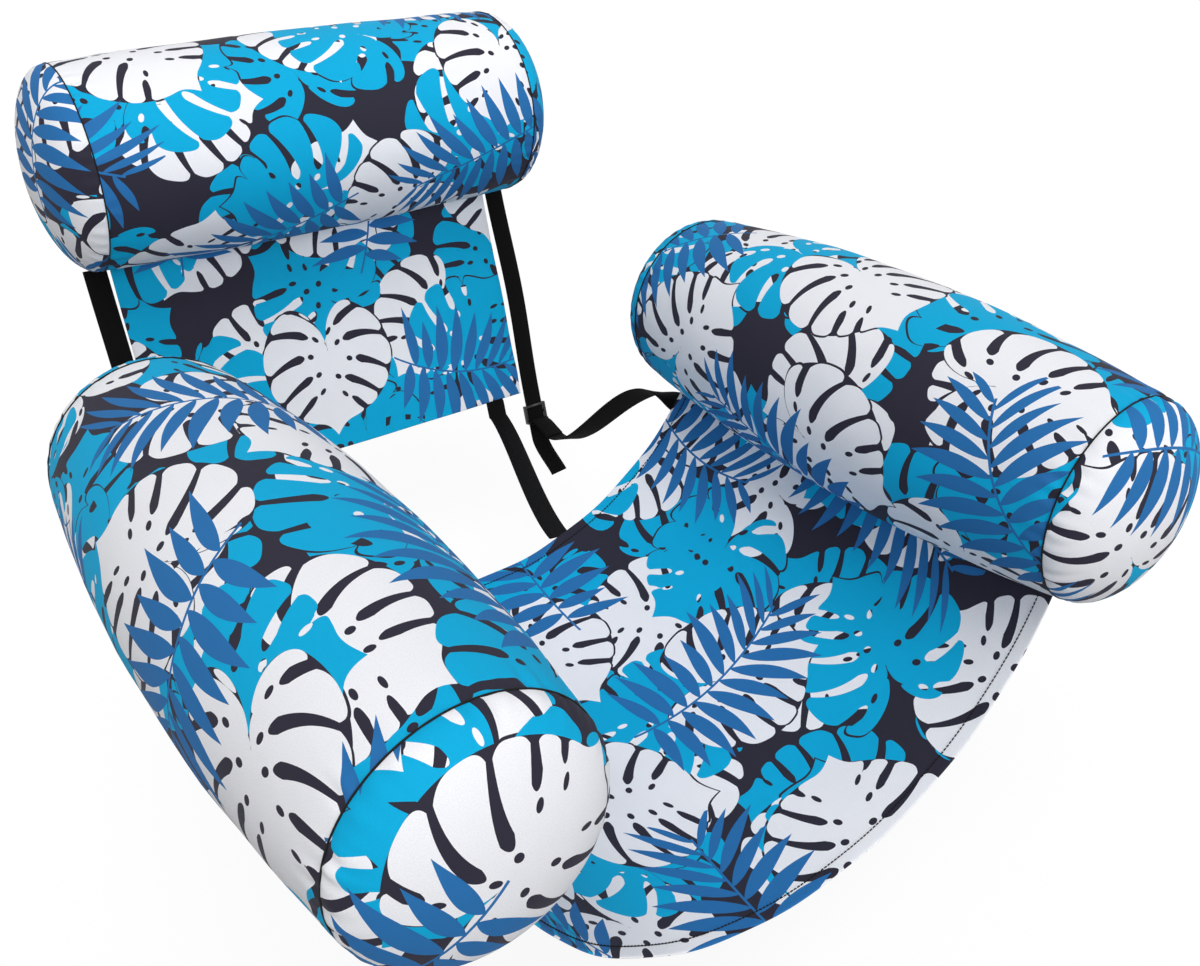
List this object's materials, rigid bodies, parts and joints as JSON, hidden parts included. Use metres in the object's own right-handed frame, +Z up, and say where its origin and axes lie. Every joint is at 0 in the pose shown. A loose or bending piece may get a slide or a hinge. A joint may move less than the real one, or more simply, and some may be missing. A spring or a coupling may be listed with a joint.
{
  "type": "water hammock",
  "caption": "Floating pool lounger: a sling seat between inflated side floats, with a strap-held backrest under an inflated head float.",
  "frame": {"origin": "midway between the two side floats, at the middle of their length, on the level of their axes", "axes": "+X from the left float to the right float, as the person lying on it has them; +Y from the front of the seat to the head float; +Z up"},
  "size_m": [1.0096, 1.2564, 0.6994],
  "materials": {
    "printed_fabric": "matt woven polyester with a tropical leaf print",
    "bladder_film": "glossy soft vinyl film",
    "valve": "glossy clear soft vinyl",
    "webbing": "matt black woven webbing",
    "thread": "black sewing thread and cord",
    "slider_plastic": "fine-grained moulded plastic"
  },
  "bodies": {
    "seat": {"seat_sling": "printed_fabric", "seat_front_stitching": "thread", "seat_rear_stitching": "thread", "left_corner_patch": "webbing", "right_corner_patch": "webbing", "left_hinge_strap_patch": "webbing", "right_hinge_strap_patch": "webbing", "left_lower_strap": "webbing", "right_lower_strap": "webbing"},
    "left_float": {"left_float_sleeve": "printed_fabric", "left_float_front_cap": "printed_fabric", "left_float_rear_cap": "printed_fabric", "left_float_front_piping": "thread", "left_float_rear_piping": "thread", "left_float_bladder": "bladder_film", "left_float_valve_stem": "valve", "left_float_valve_tether": "valve"},
    "right_float": {"right_float_sleeve": "printed_fabric", "right_float_front_cap": "printed_fabric", "right_float_rear_cap": "printed_fabric", "right_float_front_piping": "thread", "right_float_rear_piping": "thread", "right_float_bladder": "bladder_film", "right_float_valve_stem": "valve", "right_float_valve_tether": "valve"},
    "backrest": {"back_panel": "printed_fabric", "left_panel_tab": "webbing", "right_panel_tab": "webbing", "left_hinge_strap": "webbing", "right_hinge_strap": "webbing", "left_recline_strap": "webbing", "right_recline_strap": "webbing", "left_strap_loop": "webbing", "right_strap_loop": "webbing"},
    "head_float": {"head_float_sleeve": "printed_fabric", "head_float_left_cap": "printed_fabric", "head_float_right_cap": "printed_fabric", "head_float_left_piping": "thread", "head_float_right_piping": "thread", "head_float_bladder": "bladder_film", "head_float_valve_stem": "valve", "head_float_valve_tether": "valve"},
    "left_slider": {"left_slider": "slider_plastic"},
    "right_slider": {"right_slider": "slider_plastic"},
    "left_plug": {"left_float_valve_plug": "valve"},
    "right_plug": {"right_float_valve_plug": "valve"},
    "head_plug": {"head_float_valve_plug": "valve"}
  },
  "joints": [
    {"name": "left_float_roll", "type": "hinge", "parent": "seat", "child": "left_float", "pos_m": [-0.32433, 0, -0.12686], "axis": [0, 1, 0], "range_deg": [-25, 25]},
    {"name": "right_float_roll", "type": "hinge", "parent": "seat", "child": "right_float", "pos_m": [0.32433, 0, -0.12686], "axis": [0, -1, 0], "range_deg": [-25, 25]},
    {"name": "backrest_recline", "type": "hinge", "parent": "seat", "child": "backrest", "pos_m": [0, 0.3013, -0.27518], "axis": [-1, 0, 0], "range_deg": [-25, 30], "deforming": ["left_lower_strap", "right_lower_strap"]},
    {"name": "head_float_tilt", "type": "hinge", "parent": "backrest", "child": "head_float", "pos_m": [0, 0.748, 0.0615], "axis": [1, 0, 0], "range_deg": [-25, 25]},
    {"name": "left_slider_slide", "type": "slide", "parent": "backrest", "child": "left_slider", "axis": [0, 0.289, 0.9573], "range_m": [-0.02, 0.02], "deforming": ["left_strap_loop"]},
    {"name": "right_slider_slide", "type": "slide", "parent": "backrest", "child": "right_slider", "axis": [0, 0.289, 0.9573], "range_m": [-0.02, 0.02], "deforming": ["right_strap_loop"]},
    {"name": "left_plug_pull", "type": "slide", "parent": "left_float", "child": "left_plug", "axis": [0, 1, 0], "range_m": [0, 0.012], "deforming": ["left_float_valve_tether"]},
    {"name": "right_plug_pull", "type": "slide", "parent": "right_float", "child": "right_plug", "axis": [0, 1, 0], "range_m": [0, 0.012], "deforming": ["right_float_valve_tether"]},
    {"name": "head_plug_pull", "type": "slide", "parent": "head_float", "child": "head_plug", "axis": [1, 0, 0], "range_m": [0, 0.012], "deforming": ["head_float_valve_tether"]}
  ]
}
